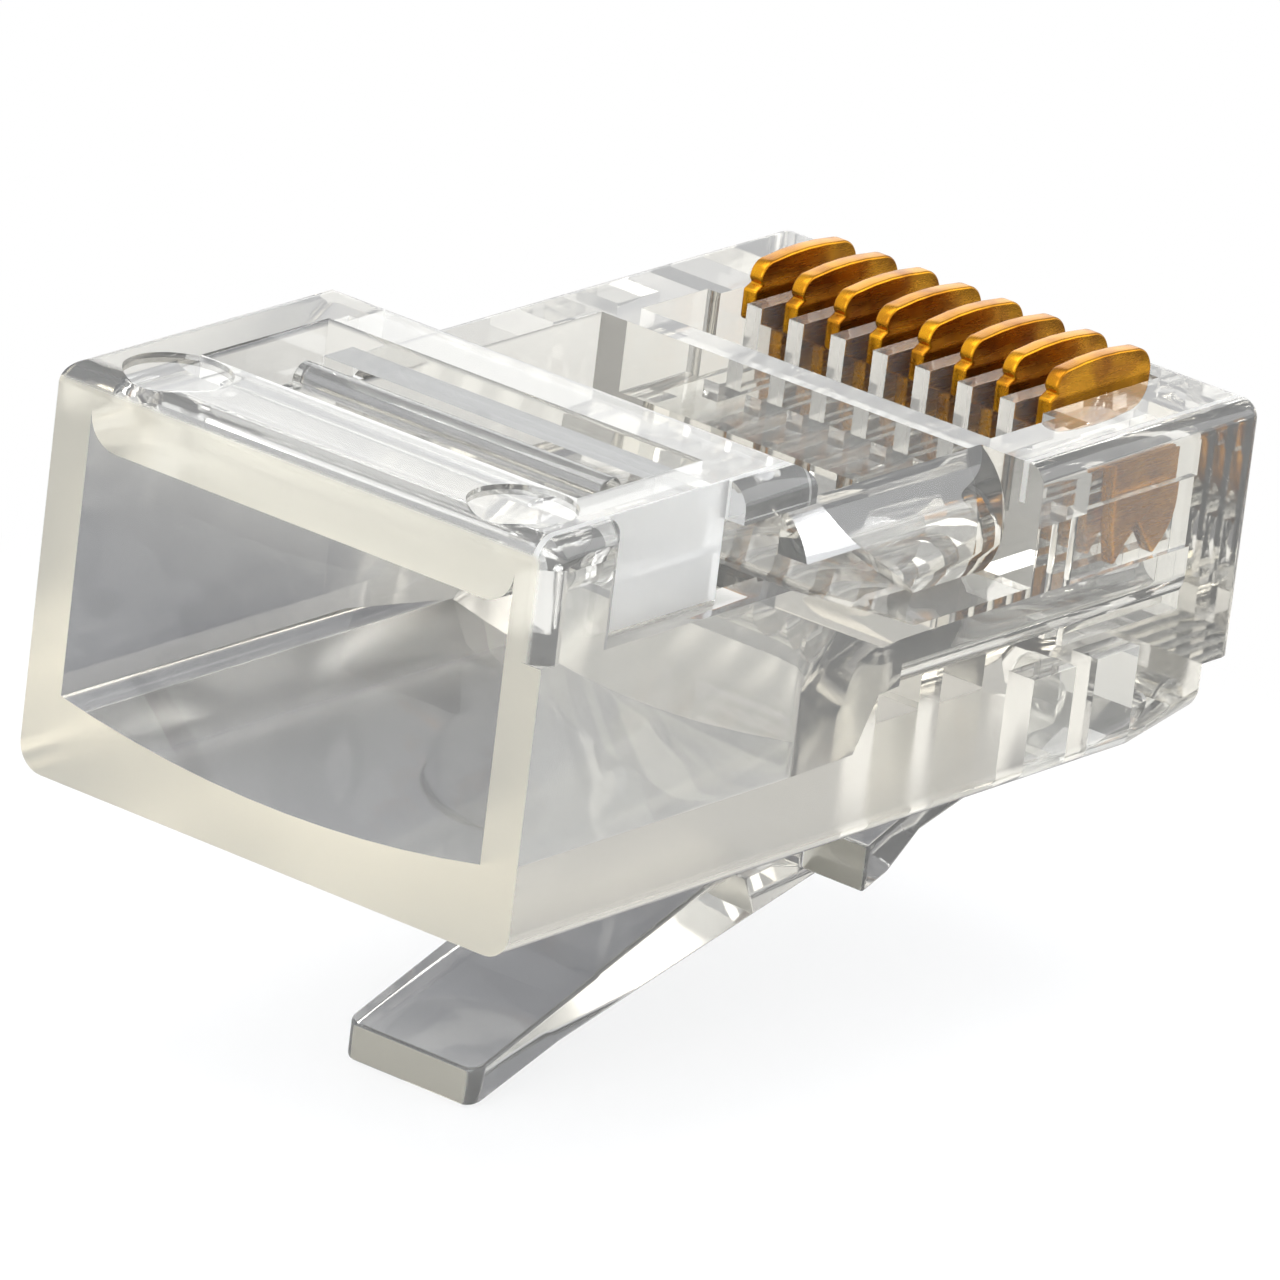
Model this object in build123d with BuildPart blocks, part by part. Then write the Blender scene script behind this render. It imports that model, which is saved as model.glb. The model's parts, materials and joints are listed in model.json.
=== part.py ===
"""Uncrimped eight-position modular plug, millimetres.

X runs from the cable entry to the nose, Z from the latch side to the contact side.
The origin is the middle of the rear face's lower edge.
"""
import os

from build123d import *

os.makedirs("parts", exist_ok=True)

# Body envelope
body_length = 21.46
body_width = 11.68
rear_height = 8.0
front_height = 6.5
rear_block_length = 7.6
front_block_length = 6.86
rear_edge_radius = 0.5
front_edge_radius = 0.4
underside_edge_radius = 0.55
nose_edge_radius = 0.4

# Nose underside
nose_step_depth = 1.0
nose_step_height = 1.38
nose_ramp_length = 1.85
nose_ramp_rise = 0.35

# Cable cavity
side_wall = 0.84
rear_beam_height = 1.45
cavity_floor_middle = 1.14
cavity_floor_edge = 1.65
cavity_length = 7.2
beam_end_radius = 0.65

# Funnel between the cavity and the conductor channels
funnel_taper_start = 8.1
funnel_end = 11.9
funnel_ramp_start = 10.25
funnel_ramp_length = 0.95

# Strain-relief window and the beam in front of it
window_side_rim = 1.39
window_start = 2.3
window_end = 5.9
front_beam_height = 0.75

# Roof over the conductors, which the waist recess stands on
ledge_height = 5.65
roof_height = 4.15
roof_thickness = 0.45
roof_slope_length = 3.9

# Waist recess
recess_wall_gap = 0.4
recess_near_rim = 1.54
recess_far_rim = 1.34

# Side relief on the gate side
panel_inset = 0.45
panel_start = 2.05
panel_end = 5.5
post_edge_radius = 0.3
gate_wall_gap = 1.1
gate_wall_bulge = 0.75
gate_wall_foot = 0.22
gate_wall_underside = 5.57
gate_wall_flat = 1.6
gate_wall_slope = 2.5

# Contacts and their slots
contact_count = 8
contact_pitch = 1.016
contact_thickness = 0.32
contact_clearance = 0.025
contact_proud = 0.7
crimp_travel = 1.1
rib_thickness = 0.36
head_length = 3.1
head_height = 1.2
head_crown = 0.07
shank_length = 2.0
shank_front_inset = 0.37
shoulder_height = 0.3
tine_height = 0.8
rear_tine_inset = 0.2
front_tine_inset = 0.6
front_tine_rise = 1.1
front_tine_slope = 0.9
contact_height = 3.7
head_rear_radius = 0.36
head_front_radius = 0.55
head_rear_setback = 0.14
barb_depth = 0.2
barb_height = 0.09
nose_wall = 0.86

# Conductor channels
channel_radius = 0.46
channel_height = 3.0
channel_headroom = 0.5
tine_seat_depth = 0.2

# Trough behind the ribs
trough_length = 2.0
rib_rear_reach = 0.45
trough_floor = 4.9
trough_side_rim = 1.64

# Cored pockets under the nose
pocket_length = 1.3
pocket_width = 1.5
pocket_depth = 2.0
pocket_spacing = 1.95
pocket_side_wall = 0.8
pocket_nose_offset = 3.3

# Ejector marks on the rear beam
ejector_radius = 1.03
ejector_depth = 0.1
ejector_centre = 1.22
ejector_side_inset = 1.76

# Latch lever
hinge_clearance = 0.05
latch_axis_setback = 1.56
latch_axis_height = 0.1
latch_root_radius = 0.45
latch_wing_width = 6.2
latch_lever_width = 3.16
latch_flex_slope = 0.353
latch_flex_length = 2.57
latch_flex_thickness = 0.71
latch_lock_face_setback = 7.11
latch_lock_depth = 0.95
latch_lock_lip = 0.26
latch_lock_lip_length = 0.7
latch_lock_length = 1.57
latch_lock_web = 0.58
latch_lever_rise = 0.3
latch_root_drop = 0.2
latch_length = 16.36
latch_tip_thickness = 0.81
latch_tip_drop = 4.7
latch_tip_taper_length = 2.45
latch_tip_taper_rise = 0.78
latch_pad_length = 3.4
latch_pad_step = 0.06
latch_corner_radius = 0.3

# Jacket clamp
clamp_axis_depth = 0.92
clamp_root_radius = 0.3
clamp_width = 7.3
clamp_length = 2.36
clamp_bead_rise = 0.32
clamp_bead_radius = 0.34
clamp_web_thickness = 0.3
clamp_web_length = 0.5
clamp_tooth_reach = 0.42

# Places worked out from the sizes above
half_width = body_width / 2
cavity_half_width = half_width - side_wall
cavity_ceiling = rear_height - rear_beam_height
window_half_width = half_width - window_side_rim
beam_underside = rear_height - front_beam_height
shoulder_x = body_length - front_block_length
roof_slope_end = cavity_length + roof_slope_length
recess_end = shoulder_x - recess_wall_gap
recess_near_y = -half_width + recess_near_rim
recess_far_y = half_width - recess_far_rim
contact_row = [(i - (contact_count - 1) / 2) * contact_pitch for i in range(contact_count)]
head_front = body_length - nose_wall - contact_clearance
head_rear = head_front - head_length
trough_front = head_rear - rib_rear_reach
trough_rear = trough_front - trough_length
trough_half_width = half_width - trough_side_rim
contact_top = front_height + contact_proud
contact_tip = contact_top - contact_height
channel_ceiling = channel_height + channel_headroom
channel_floor = channel_height - channel_radius
row_half_width = contact_row[-1] + channel_radius
slot_width = contact_thickness + 2 * contact_clearance
slot_floor = contact_tip - crimp_travel - tine_seat_depth
latch_axis_x = body_length - latch_axis_setback
lock_face_x = body_length - latch_lock_face_setback
clamp_axis_height = rear_height - clamp_axis_depth
over = 1.0


def slab(profile_plane_y, points, depth):
    """Side profile in the XZ plane, extruded towards +Y from a given Y."""
    with BuildPart() as result:
        with BuildSketch(Plane.XZ.offset(-profile_plane_y)):
            with BuildLine():
                Polyline(*points, close=True)
            make_face()
        extrude(amount=-depth)
    return result.part


# Plain envelope: the long body with its stepped nose, and the taller rear block
with BuildPart() as envelope:
    with BuildSketch(Plane.XZ):
        with BuildLine():
            step_x = body_length - nose_step_depth
            Polyline(
                (0, 0),
                (step_x - nose_ramp_length, 0),
                (step_x, nose_ramp_rise),
                (step_x, nose_step_height),
                (body_length, nose_step_height),
                (body_length, front_height),
                (rear_block_length, front_height),
                (rear_block_length, ledge_height),
                (0, ledge_height),
                close=True,
            )
        make_face()
    extrude(amount=half_width, both=True)
    long_edges = envelope.edges().filter_by(Axis.X).group_by(Axis.Z)
    fillet(long_edges[-1], radius=front_edge_radius)
    for side in (0, -1):
        side_face = envelope.faces().sort_by(Axis.Y)[side]
        underside_edges = side_face.edges().filter_by_position(Axis.Z, 0, nose_ramp_rise)
        fillet(underside_edges, radius=underside_edge_radius)
    nose_edges = envelope.faces().sort_by(Axis.X)[-1].edges()
    fillet(nose_edges.sort_by(Axis.Z)[-1], radius=nose_edge_radius)

with BuildPart() as rear_block:
    with BuildSketch(Plane.XY.offset(ledge_height)):
        with Locations((rear_block_length / 2, 0)):
            Rectangle(rear_block_length, body_width)
    extrude(amount=rear_height - ledge_height)
    gate_corner = rear_block.edges().filter_by(Axis.Z).group_by(Axis.X)[0].sort_by(Axis.Y)[0]
    fillet(gate_corner, radius=rear_edge_radius)
    fillet(rear_block.faces().sort_by(Axis.Z)[-1].edges(), radius=rear_edge_radius)

# Curved side wall of the waist on the gate side, with a wedge-shaped gap under its rear half
gate_wall_rear = rear_block_length + gate_wall_gap
gate_wall_base = roof_height - roof_thickness / 2
gap_bend = gate_wall_rear + gate_wall_flat
with BuildPart() as gate_wall:
    with BuildSketch(Plane.YZ.offset(gate_wall_rear)):
        with BuildLine():
            Polyline(
                (recess_near_y - gate_wall_foot, gate_wall_base),
                (recess_near_y, gate_wall_base),
                (recess_near_y, front_height),
            )
            ThreePointArc(
                (recess_near_y, front_height),
                (recess_near_y - gate_wall_bulge, (front_height + roof_height) / 2),
                (recess_near_y - gate_wall_foot, gate_wall_base),
            )
        make_face()
    extrude(amount=shoulder_x - gate_wall_rear + recess_wall_gap)
    with BuildSketch(Plane.XZ.offset(half_width)):
        with BuildLine():
            Polyline(
                (gate_wall_rear - over, gate_wall_underside),
                (gap_bend, gate_wall_underside),
                (gap_bend + gate_wall_slope, gate_wall_base),
                (gap_bend + gate_wall_slope, roof_height - over),
                (gate_wall_rear - over, roof_height - over),
                close=True,
            )
        make_face()
    extrude(amount=-body_width, mode=Mode.SUBTRACT)

# Cable cavity with an arched floor, and the funnel that gathers the conductors: tapered
# sides, a sloping roof, and a ramp up to the channels
roof_ceiling = ledge_height - roof_thickness
ramp_end = funnel_ramp_start + funnel_ramp_length
with BuildPart() as cavity:
    with BuildSketch(Plane.YZ):
        with BuildLine():
            Polyline(
                (-cavity_half_width, cavity_floor_edge),
                (-cavity_half_width, cavity_ceiling),
                (cavity_half_width, cavity_ceiling),
                (cavity_half_width, cavity_floor_edge),
            )
            ThreePointArc(
                (cavity_half_width, cavity_floor_edge),
                (0, cavity_floor_middle),
                (-cavity_half_width, cavity_floor_edge),
            )
        make_face()
    extrude(amount=funnel_end)
    with BuildSketch(Plane.XZ):
        with BuildLine():
            Polyline(
                (0, 0),
                (0, rear_height),
                (cavity_length, rear_height),
                (cavity_length, roof_ceiling),
                (roof_slope_end, channel_ceiling),
                (funnel_end, channel_ceiling),
                (funnel_end, channel_floor),
                (ramp_end, channel_floor),
                (funnel_ramp_start, cavity_floor_middle),
                (funnel_ramp_start, 0),
                close=True,
            )
        make_face()
    extrude(amount=half_width, both=True, mode=Mode.INTERSECT)
    with BuildSketch(Plane.XY):
        with BuildLine():
            Polyline(
                (0, -half_width),
                (funnel_taper_start, -half_width),
                (funnel_taper_start, -cavity_half_width),
                (funnel_end, -row_half_width),
                (funnel_end, row_half_width),
                (funnel_taper_start, cavity_half_width),
                (funnel_taper_start, half_width),
                (0, half_width),
                close=True,
            )
        make_face()
    extrude(amount=rear_height, mode=Mode.INTERSECT)

# Space that the side slide of the mould leaves: under the front beam and along the waist
side_relief = slab(
    -half_width - over,
    [
        (panel_end, ledge_height),
        (cavity_length, ledge_height),
        (roof_slope_end, roof_height),
        (shoulder_x, roof_height),
        (shoulder_x, rear_height + over),
        (rear_block_length, rear_height + over),
        (rear_block_length, beam_underside),
        (panel_end, beam_underside),
    ],
    recess_near_rim + over,
)
waist_recess = slab(
    recess_near_y,
    [
        (window_end, ledge_height),
        (cavity_length, ledge_height),
        (roof_slope_end, roof_height),
        (recess_end, roof_height),
        (recess_end, front_height + over),
        (rear_block_length, front_height + over),
        (rear_block_length, beam_underside),
        (window_end, beam_underside),
    ],
    recess_far_y - recess_near_y,
)
with BuildPart() as panel_relief:
    with BuildSketch(Plane.XY.offset(ledge_height)):
        with BuildLine():
            Polyline(
                (panel_start - post_edge_radius, -half_width),
                (panel_start - post_edge_radius, -half_width - over),
                (panel_end, -half_width - over),
                (panel_end, -half_width + panel_inset),
                (panel_start, -half_width + panel_inset),
                (panel_start, -half_width + post_edge_radius),
            )
            RadiusArc(
                (panel_start, -half_width + post_edge_radius),
                (panel_start - post_edge_radius, -half_width),
                post_edge_radius,
            )
        make_face()
    extrude(amount=rear_height + over - ledge_height)

with BuildPart() as housing:
    add(envelope.part)
    add(rear_block.part)
    add(side_relief, mode=Mode.SUBTRACT)
    add(waist_recess, mode=Mode.SUBTRACT)
    add(panel_relief.part, mode=Mode.SUBTRACT)
    add(gate_wall.part)
    add(cavity.part, mode=Mode.SUBTRACT)

    # The rear beam's lower corners are rounded where they meet the side walls
    beam_end_y = cavity_half_width - beam_end_radius
    beam_end_z = cavity_ceiling + beam_end_radius
    with BuildSketch(Plane.YZ):
        for side in (-1, 1):
            with BuildLine():
                Polyline(
                    (side * beam_end_y, cavity_ceiling),
                    (side * cavity_half_width, cavity_ceiling),
                    (side * cavity_half_width, beam_end_z),
                )
                RadiusArc(
                    (side * cavity_half_width, beam_end_z),
                    (side * beam_end_y, cavity_ceiling),
                    side * beam_end_radius,
                )
            make_face()
    extrude(amount=window_start, mode=Mode.SUBTRACT)

    # Window that the jacket clamp sits in
    with BuildSketch(Plane.XY.offset(rear_height)):
        with Locations(((window_start + window_end) / 2, 0)):
            Rectangle(window_end - window_start, 2 * window_half_width)
    extrude(amount=-rear_beam_height - over, mode=Mode.SUBTRACT)

    # Conductor channels: round-bottomed grooves under one slot
    with BuildSketch(Plane.YZ.offset(funnel_end)):
        with Locations((0, channel_height + channel_headroom / 2)):
            Rectangle(2 * row_half_width, channel_headroom)
        with Locations(*[(y, channel_height) for y in contact_row]):
            Circle(channel_radius)
    extrude(amount=head_front - funnel_end, mode=Mode.SUBTRACT)

    # Trough behind the ribs, a wide slot for each spring wire of the jack, and a narrow one below
    with BuildSketch(Plane.XY.offset(front_height)):
        with Locations(((trough_rear + trough_front) / 2, 0)):
            Rectangle(trough_length, 2 * trough_half_width)
    extrude(amount=-(front_height - trough_floor), mode=Mode.SUBTRACT)
    slot_front = body_length - nose_wall
    slot_centres = [((trough_front + slot_front) / 2, y) for y in contact_row]
    with BuildSketch(Plane.XY.offset(front_height)):
        with Locations(*slot_centres):
            Rectangle(slot_front - trough_front, contact_pitch - rib_thickness)
    extrude(amount=-(front_height - trough_floor), mode=Mode.SUBTRACT)
    with BuildSketch(Plane.XY.offset(trough_floor)):
        with Locations(*slot_centres):
            Rectangle(slot_front - trough_front, slot_width)
    extrude(amount=-(trough_floor - slot_floor), mode=Mode.SUBTRACT)

    # Cored pockets under the nose, beside the latch root
    pocket_x = body_length - pocket_nose_offset
    pocket_y = half_width - pocket_side_wall - pocket_width / 2
    with BuildSketch(Plane.XY.offset(-over)):
        with Locations(*[(pocket_x - i * pocket_spacing, s * pocket_y) for i in (0, 1) for s in (-1, 1)]):
            Rectangle(pocket_length, pocket_width)
    extrude(amount=pocket_depth + over, mode=Mode.SUBTRACT)

    # Ejector marks
    with BuildSketch(Plane.XY.offset(rear_height)):
        with Locations(*[(ejector_centre, s * (half_width - ejector_side_inset)) for s in (-1, 1)]):
            Circle(ejector_radius)
    extrude(amount=-ejector_depth, mode=Mode.SUBTRACT)

    # Round seats of the two hinges
    with BuildSketch(Plane.XZ):
        with Locations((latch_axis_x, latch_axis_height)):
            Circle(latch_root_radius + hinge_clearance)
    extrude(amount=latch_wing_width / 2 + hinge_clearance, both=True, mode=Mode.SUBTRACT)
    with BuildSketch(Plane.XZ):
        with Locations((window_start, clamp_axis_height)):
            Circle(clamp_root_radius + hinge_clearance)
    extrude(amount=clamp_width / 2 + hinge_clearance, both=True, mode=Mode.SUBTRACT)

housing.part.label = "housing"
export_step(housing.part, "parts/housing.step")

# Latch: a wide springy root, the locking wings, and the narrow finger lever
tip_x = body_length - latch_length
pad_x = tip_x + latch_pad_length
lock_top = latch_axis_height - (latch_axis_x - lock_face_x) * latch_flex_slope
lock_bottom = lock_top - latch_lock_depth
lock_front_x = lock_face_x + latch_lock_length
lock_front_top = latch_axis_height - (latch_axis_x - lock_front_x) * latch_flex_slope
flex_x = latch_axis_x - latch_flex_length
flex_top = latch_axis_height - latch_flex_length * latch_flex_slope
lever_top = lock_top + latch_lever_rise
lever_slope = (lever_top + latch_tip_drop) / (lock_face_x - tip_x)
pad_top = -latch_tip_drop + lever_slope * latch_pad_length
tip_bottom = -latch_tip_drop - latch_tip_thickness
with BuildPart() as latch:
    with BuildSketch(Plane.XZ):
        with Locations((latch_axis_x, latch_axis_height)):
            Circle(latch_root_radius)
        with BuildLine():
            Polyline(
                (latch_axis_x, latch_axis_height),
                (lock_face_x, lock_top),
                (lock_face_x, lock_bottom),
                (lock_face_x + latch_lock_lip_length, lock_bottom + latch_lock_lip),
                (lock_front_x, lock_front_top - latch_lock_web),
                (flex_x, flex_top - latch_flex_thickness),
                (latch_axis_x, latch_axis_height - latch_root_radius),
                close=True,
            )
        make_face()
    extrude(amount=latch_wing_width / 2, both=True)
    with BuildSketch(Plane.XZ):
        with BuildLine():
            Polyline(
                (lock_front_x, lock_front_top),
                (lock_face_x, lever_top),
                (pad_x, pad_top),
                (pad_x - latch_pad_step, pad_top - latch_pad_step),
                (tip_x, -latch_tip_drop - latch_pad_step),
                (tip_x, tip_bottom),
                (tip_x + latch_tip_taper_length, tip_bottom + latch_tip_taper_rise),
                (lock_face_x + latch_lock_lip_length, lock_bottom - latch_root_drop),
                (lock_front_x, lock_front_top - latch_lock_web),
                close=True,
            )
        make_face()
    extrude(amount=latch_lever_width / 2, both=True)
    tip_face = latch.faces().sort_by(Axis.X)[0]
    fillet(tip_face.edges().filter_by(Axis.Z), radius=latch_corner_radius)
latch.part.label = "latch"
export_step(latch.part, "parts/latch.step")

# Jacket clamp: a bar with a thin rear web, a rounded bead on top and a biting edge below
clamp_front = window_start + clamp_length
clamp_bead = (clamp_front - clamp_bead_radius, clamp_axis_height + clamp_bead_rise)
web_front = window_start + clamp_web_length
tooth_height = clamp_axis_height - clamp_tooth_reach
with BuildPart() as jacket_clamp:
    with BuildSketch(Plane.XZ):
        with Locations((window_start, clamp_axis_height)):
            Circle(clamp_root_radius)
        with Locations(clamp_bead):
            Circle(clamp_bead_radius)
        with BuildLine():
            Polyline(
                (window_start, clamp_axis_height - clamp_web_thickness / 2),
                (window_start, clamp_axis_height + clamp_web_thickness / 2),
                (web_front, clamp_axis_height + clamp_root_radius),
                clamp_bead,
                (clamp_front, clamp_bead[1]),
                (clamp_front, tooth_height + clamp_web_thickness),
                (clamp_bead[0], tooth_height),
                (web_front, tooth_height),
                (web_front, clamp_axis_height - clamp_web_thickness / 2),
                close=True,
            )
        make_face()
    extrude(amount=clamp_width / 2, both=True)
jacket_clamp.part.label = "jacket_clamp"
export_step(jacket_clamp.part, "parts/jacket_clamp.step")

# Contacts: stamped blades with a crowned head, a barb on the rear edge and two tines
shank_front = head_front - shank_front_inset
shank_rear = shank_front - shank_length
head_bottom = contact_top - head_height
head_shoulder = contact_top - head_crown
upper_rear = head_rear + head_rear_setback
barb_z = head_shoulder - head_rear_radius - barb_height
rear_tine_x = shank_rear + rear_tine_inset
front_tine_x = shank_front - front_tine_inset
for number, y in enumerate(contact_row, start=1):
    with BuildPart() as contact:
        with BuildSketch(Plane.XZ.offset(-y)):
            with BuildLine():
                Polyline(
                    (upper_rear, head_shoulder - head_rear_radius),
                    (head_rear + barb_depth, barb_z),
                    (head_rear, barb_z - barb_height),
                    (head_rear, head_bottom),
                    (shank_rear, head_bottom - shoulder_height),
                    (shank_rear, contact_tip + tine_height),
                    (rear_tine_x, contact_tip),
                    ((rear_tine_x + front_tine_x) / 2, contact_tip + tine_height),
                    (front_tine_x, contact_tip),
                )
                Spline(
                    (front_tine_x, contact_tip),
                    (shank_front, contact_tip + front_tine_rise),
                    tangents=((1, front_tine_slope), (0, 1)),
                )
                Polyline(
                    (shank_front, contact_tip + front_tine_rise),
                    (shank_front, head_bottom - shoulder_height),
                    (head_front, head_bottom),
                    (head_front, head_shoulder - head_front_radius),
                )
                RadiusArc(
                    (head_front, head_shoulder - head_front_radius),
                    (head_front - head_front_radius, head_shoulder),
                    -head_front_radius,
                )
                ThreePointArc(
                    (head_front - head_front_radius, head_shoulder),
                    ((upper_rear + head_front) / 2, contact_top),
                    (upper_rear + head_rear_radius, head_shoulder),
                )
                RadiusArc(
                    (upper_rear + head_rear_radius, head_shoulder),
                    (upper_rear, head_shoulder - head_rear_radius),
                    -head_rear_radius,
                )
            make_face()
        extrude(amount=contact_thickness / 2, both=True)
    contact.part.label = f"contact_{number}"
    export_step(contact.part, f"parts/contact_{number}.step")
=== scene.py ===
import json
import math

import bpy
from mathutils import Matrix, Vector


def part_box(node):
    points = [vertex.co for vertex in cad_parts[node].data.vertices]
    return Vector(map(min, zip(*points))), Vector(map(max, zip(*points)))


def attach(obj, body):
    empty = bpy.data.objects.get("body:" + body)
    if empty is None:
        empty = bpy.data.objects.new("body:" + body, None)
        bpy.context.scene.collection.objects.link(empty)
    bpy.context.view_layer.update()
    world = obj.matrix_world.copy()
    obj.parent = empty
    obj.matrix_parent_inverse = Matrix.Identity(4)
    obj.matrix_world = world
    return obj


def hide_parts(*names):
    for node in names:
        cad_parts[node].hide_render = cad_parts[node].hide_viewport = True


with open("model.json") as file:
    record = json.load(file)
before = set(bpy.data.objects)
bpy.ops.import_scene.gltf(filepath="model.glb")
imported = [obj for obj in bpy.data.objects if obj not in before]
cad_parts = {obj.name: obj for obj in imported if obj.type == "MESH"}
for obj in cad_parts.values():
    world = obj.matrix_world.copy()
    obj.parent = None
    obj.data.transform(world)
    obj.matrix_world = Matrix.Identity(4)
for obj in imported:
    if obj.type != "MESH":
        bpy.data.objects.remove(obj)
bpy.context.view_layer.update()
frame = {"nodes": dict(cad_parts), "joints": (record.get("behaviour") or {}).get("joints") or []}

bl_info = {
    "name": "Clear modular plug",
    "version": (1, 0, 0),
    "blender": (4, 5, 0),
    "location": "View3D > Sidebar > Plug",
    "description": "Dresses the modular plug's solids in clear polycarbonate and gold",
    "category": "Object",
}

MM = 0.001
CONTACTS = sorted(name for name in frame["nodes"] if name.startswith("contact_"))
LATCH_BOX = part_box("latch")

# Places on the plug that the plastic's finish follows
PLUG_MIDDLE = Vector((10.7 * MM, 0, 0))
GATE_PANEL_Y = -5.39 * MM
GATE_PANEL_FOOT = 5.7 * MM
ENTRY_RIM_DEPTH = 0.1 * MM
LEVER_ZONE_TOP = -0.5 * MM
UNDERSIDE_SKIN = 0.03 * MM

# Hinge roots: the radius of the solid, and the one that closes its gap to the seat
LATCH_ROOT, LATCH_ROOT_SWOLLEN = 0.45 * MM, 0.51 * MM
CLAMP_ROOT, CLAMP_ROOT_SWOLLEN = 0.3 * MM, 0.36 * MM

# Edges that turn by more than this many degrees are rounded, in this many steps
SHARP_TURN = 30
ROUNDING_STEPS = 3

# Merging and thinning of the solids' meshes
WELD_DISTANCE = 0.0005 * MM
FLAT_TURN = 0.5

# The studio: floor size, its gap below the lever, and each softbox's place and side in metres
# and power in watts
FLOOR_SIZE = 1.2
FLOOR_GAP = 0.02 * MM
LAMP_TARGET = Vector((10 * MM, 0, 3 * MM))
LAMPS = (
    ("softbox_above", (-0.05, 0.02, 0.4), 0.34, 0.8),
    ("softbox_left", (-0.4, -0.05, 0.18), 0.3, 0.6),
    ("softbox_right", (0.3, -0.28, 0.22), 0.3, 0.4),
    ("softbox_behind", (0.45, 0.34, 0.21), 0.4, 0.6),
)
SENSOR_WIDTH = 36


class PlugSizes(bpy.types.PropertyGroup):
    """Sizes of the finish that the moulding tool and the press leave on the plug"""

    housing_edge: bpy.props.FloatProperty(
        name="Housing edge", description="Radius that the mould leaves on the housing's edges",
        default=0.07 * MM, unit="LENGTH", precision=5)
    latch_edge: bpy.props.FloatProperty(
        name="Latch edge", description="Radius on the latch's edges",
        default=0.09 * MM, unit="LENGTH", precision=5)
    clamp_edge: bpy.props.FloatProperty(
        name="Clamp edge", description="Radius on the clamp bar's edges",
        default=0.05 * MM, unit="LENGTH", precision=5)
    contact_edge: bpy.props.FloatProperty(
        name="Contact edge", description="Radius that the press rolls over a blade's edges",
        default=0.09 * MM, unit="LENGTH", precision=5)


class PlugColours(bpy.types.PropertyGroup):
    """Colours of the two real materials and of the studio"""

    polycarbonate: bpy.props.StringProperty(
        name="Polycarbonate", description="Surface colour of the clear plastic", default="#FBFBF9")
    polycarbonate_depth: bpy.props.StringProperty(
        name="Polycarbonate depth", description="Colour that deep plastic turns light to",
        default="#FBF5E6")
    polycarbonate_rim: bpy.props.StringProperty(
        name="Polycarbonate rim", description="Surface colour of the satin entry and lever ends",
        default="#F3EEDD")
    gold: bpy.props.StringProperty(
        name="Gold", description="Colour of the plated blades", default="#D2931F")
    gold_shade: bpy.props.StringProperty(
        name="Gold shade", description="Colour where the plating is thin", default="#A0641A")
    floor: bpy.props.StringProperty(
        name="Floor", description="Colour of the studio floor", default="#F4F5F6")


def linear_rgba(hex_colour):
    """Linear RGBA of an sRGB hex colour."""
    channels = [int(hex_colour[i:i + 2], 16) / 255 for i in (1, 3, 5)]
    return [c / 12.92 if c <= 0.04045 else ((c + 0.055) / 1.055) ** 2.4 for c in channels] + [1]


def add_node(tree, kind, settings=(), **inputs):
    """Adds a node, sets its properties, and sets or links its inputs.

    An input is named with _ for a space, or by its number after an i.
    """
    node = tree.nodes.new(kind)
    for name, value in dict(settings).items():
        setattr(node, name, value)
    for name, value in inputs.items():
        key = name.replace("_", " ")
        numbered = key[0] == "i" and key[1:].isdigit()
        socket = node.inputs[int(key[1:]) if numbered else key]
        if isinstance(value, bpy.types.NodeSocket):
            tree.links.new(value, socket)
        else:
            socket.default_value = value
    return node


def new_material(name):
    """An empty node material, and its tree."""
    material = bpy.data.materials.new(name)
    material.use_nodes = True
    material.node_tree.nodes.clear()
    return material, material.node_tree


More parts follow.
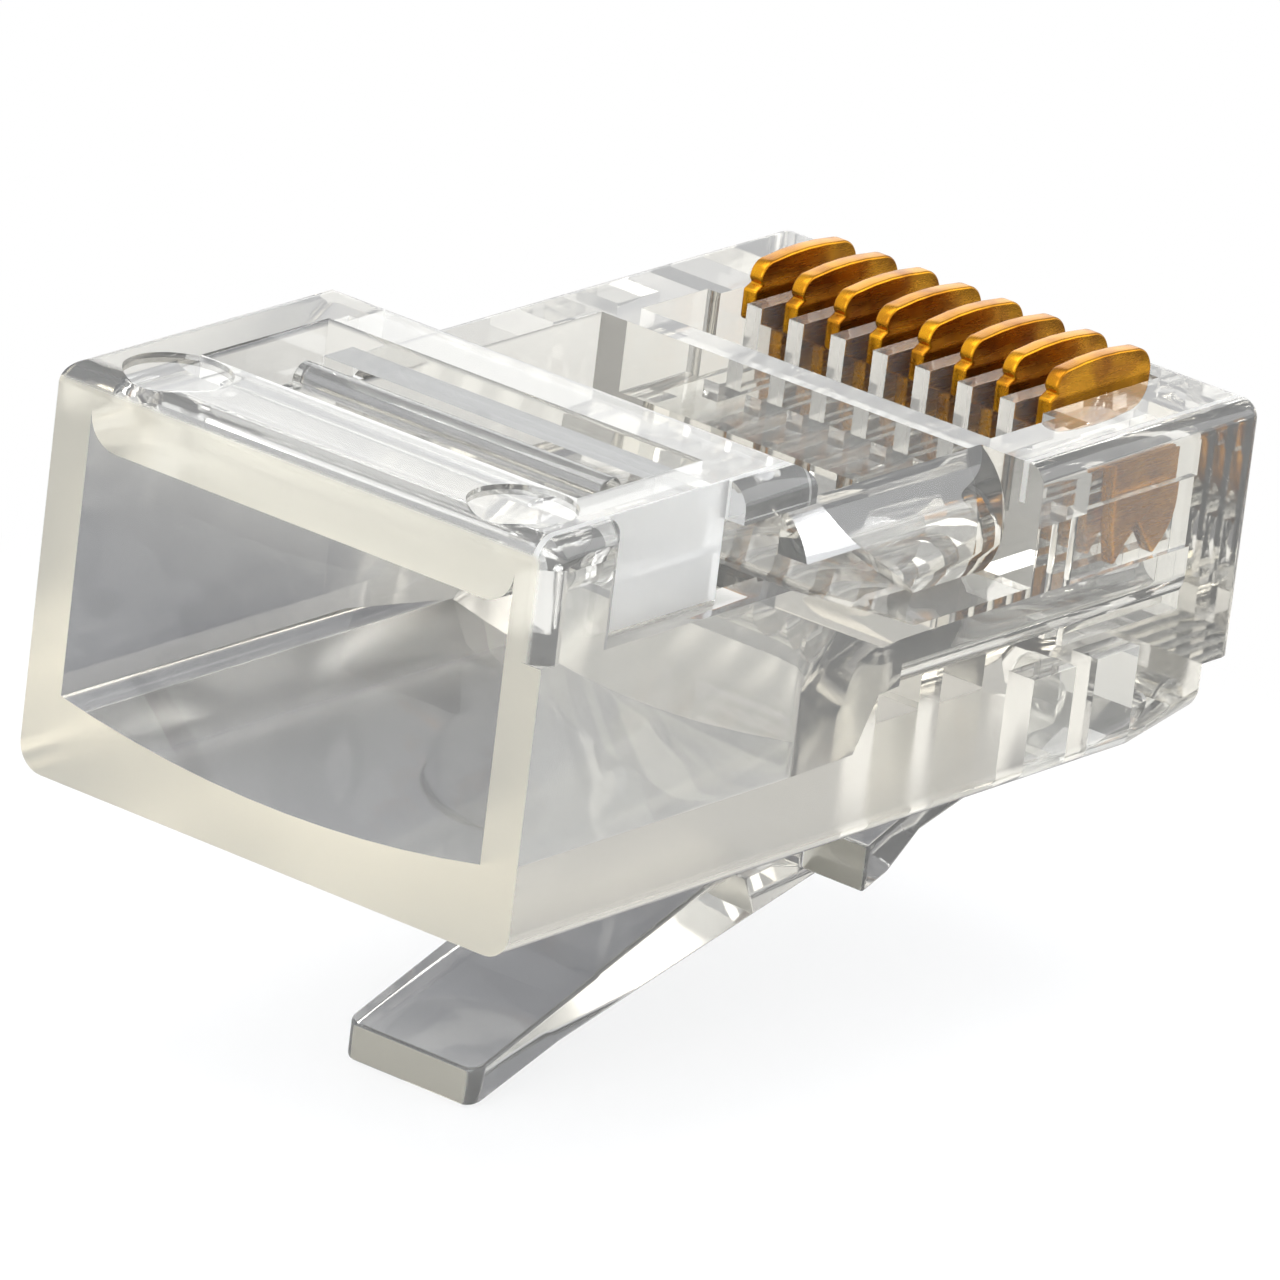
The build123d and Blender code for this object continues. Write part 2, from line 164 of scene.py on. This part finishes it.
# Clear polycarbonate, injection moulded in a polished tool: sharp reflections that a slight
# flow waviness breaks up, and a faint warm tint where light runs deep. The faces that the tool
# doesn't polish are satin: the entry rim and the lever's rear ends, the gate panel, which is
# dragged over the steel as the plug leaves the tool, and a little of the underside.
def moulded_clear_polycarbonate(colours):
    material, tree = new_material("moulded_clear_polycarbonate")
    place = add_node(tree, "ShaderNodeTexCoord").outputs["Object"]

    # Flow waves 2.4 mm apart, drawn out along the plug
    flow = add_node(tree, "ShaderNodeMapping", Vector=place, Scale=(0.35, 1.0, 1.0))
    waves = add_node(tree, "ShaderNodeTexNoise", Vector=flow.outputs["Vector"],
                     Scale=1 / (2.4 * MM), Detail=0.0)

    # Drag grooves up the gate panel. The real ones are finer than 0.08 mm and wouldn't show.
    part = add_node(tree, "ShaderNodeSeparateXYZ", Vector=place).outputs
    strips = add_node(tree, "ShaderNodeMath", {"operation": "SNAP"}, i0=part["X"], i1=0.08 * MM)
    combing = add_node(tree, "ShaderNodeTexWhiteNoise", {"noise_dimensions": "1D"},
                       W=strips.outputs[0])
    panel = add_node(tree, "ShaderNodeMath", {"operation": "COMPARE"},
                     i0=part["Y"], i1=GATE_PANEL_Y, i2=0.06 * MM)
    raised = add_node(tree, "ShaderNodeMath", {"operation": "GREATER_THAN"},
                      i0=part["Z"], i1=GATE_PANEL_FOOT)
    ejected = add_node(tree, "ShaderNodeMath", {"operation": "MULTIPLY"},
                       i0=panel.outputs[0], i1=raised.outputs[0])
    grooves = add_node(tree, "ShaderNodeMath", {"operation": "MULTIPLY"},
                       i0=ejected.outputs[0], i1=combing.outputs["Value"])
    relief = add_node(tree, "ShaderNodeMath", {"operation": "MULTIPLY_ADD"},
                      i0=waves.outputs["Fac"], i1=0.05, i2=grooves.outputs[0])
    moulded = add_node(tree, "ShaderNodeBump", Height=relief.outputs[0],
                       Strength=0.5, Distance=0.03 * MM)

    # Satin ends: faces that look to the rear, on the entry rim and on the lever
    normal = add_node(tree, "ShaderNodeTexCoord").outputs["Normal"]
    facing = add_node(tree, "ShaderNodeSeparateXYZ", Vector=normal).outputs["X"]
    backs = add_node(tree, "ShaderNodeMapRange", Value=facing, From_Min=-0.9, From_Max=-0.97)
    entry = add_node(tree, "ShaderNodeMath", {"operation": "LESS_THAN"},
                     i0=part["X"], i1=ENTRY_RIM_DEPTH)
    lever = add_node(tree, "ShaderNodeMath", {"operation": "LESS_THAN"},
                     i0=part["Z"], i1=LEVER_ZONE_TOP)
    trimmed = add_node(tree, "ShaderNodeMath", {"operation": "MAXIMUM"},
                       i0=entry.outputs[0], i1=lever.outputs[0])
    ends = add_node(tree, "ShaderNodeMath", {"operation": "MULTIPLY"},
                    i0=trimmed.outputs[0], i1=backs.outputs["Result"])
    base = add_node(tree, "ShaderNodeMath", {"operation": "COMPARE"},
                    i0=part["Z"], i1=0.0, i2=UNDERSIDE_SKIN)
    dull = add_node(tree, "ShaderNodeMath", {"operation": "MAXIMUM"},
                    i0=ends.outputs[0], i1=ejected.outputs[0])
    polish = add_node(tree, "ShaderNodeMath", {"operation": "MULTIPLY_ADD"},
                      i0=base.outputs[0], i1=0.5, i2=dull.outputs[0])
    satin = add_node(tree, "ShaderNodeMapRange", Value=polish.outputs[0], To_Min=0.02, To_Max=0.4)
    clear = add_node(tree, "ShaderNodeMapRange", Value=dull.outputs[0], To_Min=0.93, To_Max=0.7)
    shade = add_node(tree, "ShaderNodeMix", {"data_type": "RGBA"}, i0=ends.outputs[0],
                     i6=linear_rgba(colours.polycarbonate),
                     i7=linear_rgba(colours.polycarbonate_rim))
    surface = add_node(tree, "ShaderNodeBsdfPrincipled", Base_Color=shade.outputs[2],
                       Roughness=satin.outputs["Result"], IOR=1.585,
                       Transmission_Weight=clear.outputs["Result"],
                       Normal=moulded.outputs["Normal"])
    depth = add_node(tree, "ShaderNodeVolumeAbsorption",
                     Color=linear_rgba(colours.polycarbonate_depth), Density=75.0)
    add_node(tree, "ShaderNodeOutputMaterial", Surface=surface.outputs["BSDF"],
             Volume=depth.outputs["Volume"])
    return material


# Gold flash over stamped phosphor bronze: a warm metal whose rolled grain, drawn 0.12 mm apart
# so that it shows, runs along the blade, a little browner where the plating is thin.
def gold_plated_bronze(colours):
    material, tree = new_material("gold_plated_bronze")
    place = add_node(tree, "ShaderNodeTexCoord").outputs["Object"]
    along = add_node(tree, "ShaderNodeMapping", Vector=place, Scale=(0.12, 1.0, 1.0))
    grain = add_node(tree, "ShaderNodeTexNoise", Vector=along.outputs["Vector"],
                     Scale=1 / (0.12 * MM), Detail=4.0, Roughness=0.6)
    patches = add_node(tree, "ShaderNodeTexNoise", Vector=place, Scale=1 / (0.7 * MM), Detail=2.0)
    thinning = add_node(tree, "ShaderNodeMapRange", Value=patches.outputs["Fac"],
                        From_Min=0.42, From_Max=0.72)
    plating = add_node(tree, "ShaderNodeMix", {"data_type": "RGBA"}, i0=thinning.outputs["Result"],
                       i6=linear_rgba(colours.gold), i7=linear_rgba(colours.gold_shade))
    satin = add_node(tree, "ShaderNodeMapRange", Value=grain.outputs["Fac"],
                     To_Min=0.16, To_Max=0.38)
    rolled = add_node(tree, "ShaderNodeBump", Height=grain.outputs["Fac"],
                      Strength=0.25, Distance=0.02 * MM)
    surface = add_node(tree, "ShaderNodeBsdfPrincipled", Base_Color=plating.outputs[2],
                       Metallic=1.0, Roughness=satin.outputs["Result"],
                       Normal=rolled.outputs["Normal"])
    add_node(tree, "ShaderNodeOutputMaterial", Surface=surface.outputs["BSDF"])
    return material


# Matt painted floor, which the camera sees as plain white with the plug's soft shadow. The clear
# plastic and the gold see a painted studio glowing in it: pale in front, a painted shadow of the
# plug as a dim zone beyond it that brightens again ahead of the nose, and a painted grey zone
# on the near side ahead of the nose, as the walls of the photograph's plug show it.
def painted_floor(colours):
    material, tree = new_material("painted_floor")
    paint = add_node(tree, "ShaderNodeBsdfPrincipled", Base_Color=linear_rgba(colours.floor),
                     Roughness=0.8)
    white = add_node(tree, "ShaderNodeEmission", Color=(1, 1, 1, 1), Strength=1.0)
    place = add_node(tree, "ShaderNodeTexCoord").outputs["Object"]
    part = add_node(tree, "ShaderNodeSeparateXYZ", Vector=place).outputs
    # Painted shadow of the plug, which only the plastic and the gold see: a zone beyond the plug
    beyond = add_node(tree, "ShaderNodeMapRange", {"interpolation_type": "SMOOTHSTEP"},
                      Value=part["Y"], From_Min=-6 * MM, From_Max=0.0)
    distance = add_node(tree, "ShaderNodeMapRange", {"interpolation_type": "SMOOTHSTEP"},
                        Value=part["X"], From_Min=20 * MM, From_Max=42 * MM)
    ahead = add_node(tree, "ShaderNodeMapRange", {"interpolation_type": "SMOOTHSTEP"},
                     Value=part["X"], From_Min=0.0, From_Max=8 * MM)
    # Painted shadow tone: dark beyond the plug, brightening again ahead of the nose
    far = add_node(tree, "ShaderNodeMix", {"data_type": "RGBA"}, i0=distance.outputs["Result"],
                   i6=(0.21, 0.215, 0.24, 1), i7=(1.0, 0.99, 0.96, 1))
    # Mask of the painted shadow: beyond the plug, from a little behind its rear end
    under = add_node(tree, "ShaderNodeMath", {"operation": "MULTIPLY"},
                     i0=beyond.outputs["Result"], i1=ahead.outputs["Result"])
    # Painted grey zone that the plastic and the gold reflect on the near side ahead of the nose
    near = add_node(tree, "ShaderNodeMix", {"data_type": "RGBA"}, i0=distance.outputs["Result"],
                    i6=(0.95, 0.95, 0.94, 1), i7=(0.38, 0.38, 0.38, 1))
    shade = add_node(tree, "ShaderNodeMix", {"data_type": "RGBA"}, i0=under.outputs[0],
                     i6=near.outputs[2], i7=far.outputs[2])
    # Painted glow: the floor emits these painted tones, and only reflections and refractions see
    # it
    room = add_node(tree, "ShaderNodeEmission", Color=shade.outputs[2], Strength=1.0)
    path = add_node(tree, "ShaderNodeLightPath").outputs
    through = add_node(tree, "ShaderNodeMath", {"operation": "MAXIMUM"},
                       i0=path["Is Glossy Ray"], i1=path["Is Transmission Ray"]).outputs[0]
    lit = add_node(tree, "ShaderNodeMixShader", i0=through, i1=paint.outputs["BSDF"],
                   i2=room.outputs["Emission"])

    # The shadow needs lit paint near the plug only
    apart = add_node(tree, "ShaderNodeVectorMath", {"operation": "DISTANCE"},
                     i0=place, i1=PLUG_MIDDLE)
    open_floor = add_node(tree, "ShaderNodeMapRange", {"interpolation_type": "SMOOTHSTEP"},
                          Value=apart.outputs["Value"], From_Min=14 * MM, From_Max=26 * MM,
                          To_Min=0.75, To_Max=1.0)
    share = add_node(tree, "ShaderNodeMath", {"operation": "MULTIPLY"},
                     i0=path["Is Camera Ray"], i1=open_floor.outputs["Result"])
    mixed = add_node(tree, "ShaderNodeMixShader", i0=share.outputs[0], i1=lit.outputs["Shader"],
                     i2=white.outputs["Emission"])
    add_node(tree, "ShaderNodeOutputMaterial", Surface=mixed.outputs["Shader"])
    return material


def hinge_point(joint_name):
    """A point on a hinge's axis, in metres."""
    return Vector(next(j["pos_m"] for j in frame["joints"] if j["name"] == joint_name))


def select_only(piece):
    """Makes a piece the only selected and active object."""
    bpy.ops.object.select_all(action="DESELECT")
    piece.select_set(True)
    bpy.context.view_layer.objects.active = piece


def copy_of_solid(node_name, piece_name):
    """A merged copy of a CAD node's mesh, as a new object at the origin."""
    piece = bpy.data.objects.new(piece_name, frame["nodes"][node_name].data.copy())
    bpy.context.scene.collection.objects.link(piece)
    piece.data.materials.clear()
    select_only(piece)
    bpy.ops.object.mode_set(mode="EDIT")
    bpy.ops.mesh.select_all(action="SELECT")
    bpy.ops.mesh.remove_doubles(threshold=WELD_DISTANCE)
    bpy.ops.mesh.dissolve_limited(angle_limit=math.radians(FLAT_TURN))
    bpy.ops.mesh.customdata_custom_splitnormals_clear()
    bpy.ops.object.mode_set(mode="OBJECT")
    return piece


def swell_root(piece, axis_point, radius, swollen):
    """Widens a hinge root until it meets its seat, as the one moulding does at that bend."""
    for vertex in piece.data.vertices:
        reach = Vector((vertex.co.x - axis_point.x, 0, vertex.co.z - axis_point.z))
        if 0.9 * radius < reach.length < 1.01 * radius:
            vertex.co += reach.normalized() * (swollen - radius)


def round_edges(piece, radius):
    """Rounds every sharp edge, and smooths the rest."""
    select_only(piece)
    rounding = piece.modifiers.new("rounding", "BEVEL")
    rounding.width = radius
    rounding.segments = ROUNDING_STEPS
    rounding.limit_method = "ANGLE"
    rounding.angle_limit = math.radians(SHARP_TURN)
    bpy.ops.object.modifier_apply(modifier=rounding.name)
    bpy.ops.object.shade_smooth_by_angle(angle=math.radians(SHARP_TURN))
    evening = piece.modifiers.new("evening", "WEIGHTED_NORMAL")
    evening.keep_sharp = True
    evening.weight = 100
    bpy.ops.object.modifier_apply(modifier=evening.name)


def finish_piece(piece, node_name, body, material):
    """Gives a finished piece its material and its body, and hides the solid that it stands for."""
    piece.data.materials.append(material)
    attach(piece, body)
    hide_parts(node_name)


def plastic(context):
    """The clear plastic, made once."""
    return bpy.data.materials.get("moulded_clear_polycarbonate") or \
        moulded_clear_polycarbonate(context.scene.plug_colours)


def metal(context):
    """The plated metal, made once."""
    return bpy.data.materials.get("gold_plated_bronze") or \
        gold_plated_bronze(context.scene.plug_colours)


class PLUG_OT_housing(bpy.types.Operator):
    """Makes the clear housing with moulded edges"""

    bl_idname = "plug.housing"
    bl_label = "Housing"

    def execute(self, context):
        piece = copy_of_solid("housing", "clear_housing")
        round_edges(piece, context.scene.plug_sizes.housing_edge)
        finish_piece(piece, "housing", "body", plastic(context))
        return {"FINISHED"}


class PLUG_OT_latch(bpy.types.Operator):
    """Makes the locking latch"""

    bl_idname = "plug.latch"
    bl_label = "Latch"

    def execute(self, context):
        piece = copy_of_solid("latch", "clear_latch")
        swell_root(piece, hinge_point("latch_flex"), LATCH_ROOT, LATCH_ROOT_SWOLLEN)
        round_edges(piece, context.scene.plug_sizes.latch_edge)
        finish_piece(piece, "latch", "lever", plastic(context))
        return {"FINISHED"}


class PLUG_OT_jacket_clamp(bpy.types.Operator):
    """Makes the jacket clamp bar"""

    bl_idname = "plug.jacket_clamp"
    bl_label = "Jacket clamp"

    def execute(self, context):
        piece = copy_of_solid("jacket_clamp", "clear_clamp")
        swell_root(piece, hinge_point("clamp_flex"), CLAMP_ROOT, CLAMP_ROOT_SWOLLEN)
        round_edges(piece, context.scene.plug_sizes.clamp_edge)
        finish_piece(piece, "jacket_clamp", "clamp", plastic(context))
        return {"FINISHED"}


class PLUG_OT_contacts(bpy.types.Operator):
    """Makes the gold-plated blades"""

    bl_idname = "plug.contacts"
    bl_label = "Contacts"

    def execute(self, context):
        for name in CONTACTS:
            piece = copy_of_solid(name, "gold_" + name)
            round_edges(piece, context.scene.plug_sizes.contact_edge)
            finish_piece(piece, name, name.replace("contact", "blade"), metal(context))
        return {"FINISHED"}


class PLUG_OT_stage(bpy.types.Operator):
    """Sets the floor, the lamps, the world and the camera"""

    bl_idname = "plug.stage"
    bl_label = "Stage"

    camera_azimuth: bpy.props.FloatProperty(
        name="Camera azimuth", description="Direction of the camera round the plug",
        default=math.radians(-53.22), subtype="ANGLE")
    camera_elevation: bpy.props.FloatProperty(
        name="Camera elevation", description="Height of the camera above the horizon",
        default=math.radians(19.95), subtype="ANGLE")
    camera_roll: bpy.props.FloatProperty(
        name="Camera roll", description="Turn of the camera about its own axis",
        default=math.radians(6.94), subtype="ANGLE")
    camera_distance: bpy.props.FloatProperty(
        name="Camera distance", description="From the camera to the plane through the origin",
        default=283.01 * MM, unit="LENGTH")
    aim_right: bpy.props.FloatProperty(
        name="Aim to the right", description="How far right of the origin the camera aims",
        default=6.9 * MM, unit="LENGTH")
    aim_up: bpy.props.FloatProperty(
        name="Aim up", description="How far above the origin the camera aims",
        default=4.06 * MM, unit="LENGTH")
    lens: bpy.props.FloatProperty(
        name="Lens", description="Focal length in millimetres on a 36 mm sensor", default=439.7)

    def execute(self, context):
        self.add_floor(context)
        self.add_lamps()
        self.set_world(context)
        self.add_camera(context)
        return {"FINISHED"}

    def add_floor(self, context):
        """A wide floor just under the lever's lowest point."""
        bpy.ops.object.select_all(action="DESELECT")
        bpy.ops.mesh.primitive_plane_add(
            size=FLOOR_SIZE, location=(0, 0, LATCH_BOX[0].z - FLOOR_GAP))
        floor = context.object
        floor.name = "floor"
        floor.data.materials.append(painted_floor(context.scene.plug_colours))

    def add_lamps(self):
        """Square softboxes that face the plug; clear plastic doesn't show the rear one."""
        for name, place, size, power in LAMPS:
            data = bpy.data.lights.new(name, "AREA")
            data.shape, data.size, data.energy = "SQUARE", size, power
            lamp = bpy.data.objects.new(name, data)
            lamp.location = place
            lamp.rotation_euler = (LAMP_TARGET - Vector(place)).to_track_quat("-Z", "Y").to_euler()
            lamp.visible_transmission = name != "softbox_behind"
            bpy.context.scene.collection.objects.link(lamp)

    def set_world(self, context):
        """An even bluish white room, dimmer far behind the nose, and plain white to the camera."""
        world = bpy.data.worlds.new("studio")
        context.scene.world = world
        world.use_nodes = True
        tree = world.node_tree
        tree.nodes.clear()
        direction = add_node(tree, "ShaderNodeTexCoord").outputs["Generated"]
        facing = add_node(tree, "ShaderNodeVectorMath", {"operation": "DOT_PRODUCT"},
                          i0=direction, i1=(0.70, 0.52, 0.49))
        window = add_node(tree, "ShaderNodeMapRange", {"interpolation_type": "SMOOTHSTEP"},
                          Value=facing.outputs["Value"], From_Min=0.55, From_Max=0.95,
                          To_Min=1.3, To_Max=0.6)
        room = add_node(tree, "ShaderNodeBackground", Color=(0.94, 0.96, 1.0, 1),
                        Strength=window.outputs["Result"])
        white = add_node(tree, "ShaderNodeBackground", Color=(1, 1, 1, 1), Strength=1.0)
        seen = add_node(tree, "ShaderNodeLightPath").outputs["Is Camera Ray"]
        mixed = add_node(tree, "ShaderNodeMixShader",
                         i0=seen, i1=room.outputs[0], i2=white.outputs[0])
        add_node(tree, "ShaderNodeOutputWorld", Surface=mixed.outputs["Shader"])

    def add_camera(self, context):
        """The photograph's camera, turned about the origin by azimuth, elevation and roll."""
        azimuth, elevation, roll = self.camera_azimuth, self.camera_elevation, self.camera_roll
        back = Vector((math.sin(azimuth) * math.cos(elevation),
                       -math.cos(azimuth) * math.cos(elevation), math.sin(elevation)))
        level = Vector((0, 0, 1)).cross(back).normalized()
        upright = back.cross(level)
        right = level * math.cos(roll) + upright * math.sin(roll)
        up = upright * math.cos(roll) - level * math.sin(roll)
        place = right * self.aim_right + up * self.aim_up + back * self.camera_distance
        data = bpy.data.cameras.new("camera")
        data.lens, data.sensor_width = self.lens, SENSOR_WIDTH
        data.clip_start, data.clip_end = 0.01, 5
        camera = bpy.data.objects.new("camera", data)
        turn = Matrix((right, up, back)).transposed().to_4x4()
        camera.matrix_world = Matrix.Translation(place) @ turn
        context.scene.collection.objects.link(camera)
        context.scene.camera = camera
        context.scene.view_settings.view_transform = "Standard"


class PLUG_PT_panel(bpy.types.Panel):
    """Lists the plug's pieces and sizes"""

    bl_label = "Plug"
    bl_space_type = "VIEW_3D"
    bl_region_type = "UI"
    bl_category = "Plug"

    def draw(self, context):
        for operator in OPERATORS:
            self.layout.operator(operator.bl_idname)
        for group in (context.scene.plug_sizes, context.scene.plug_colours):
            for name in group.__annotations__:
                self.layout.prop(group, name)


OPERATORS = (PLUG_OT_housing, PLUG_OT_latch, PLUG_OT_jacket_clamp, PLUG_OT_contacts, PLUG_OT_stage)
CLASSES = (PlugSizes, PlugColours, *OPERATORS, PLUG_PT_panel)


def register():
    for cls in CLASSES:
        bpy.utils.register_class(cls)
    bpy.types.Scene.plug_sizes = bpy.props.PointerProperty(type=PlugSizes)
    bpy.types.Scene.plug_colours = bpy.props.PointerProperty(type=PlugColours)


def unregister():
    del bpy.types.Scene.plug_colours
    del bpy.types.Scene.plug_sizes
    for cls in reversed(CLASSES):
        bpy.utils.unregister_class(cls)


def main():
    register()
    bpy.ops.plug.stage()
    bpy.ops.plug.housing()
    bpy.ops.plug.latch()
    bpy.ops.plug.jacket_clamp()
    bpy.ops.plug.contacts()


if __name__ == "__main__":
    main()
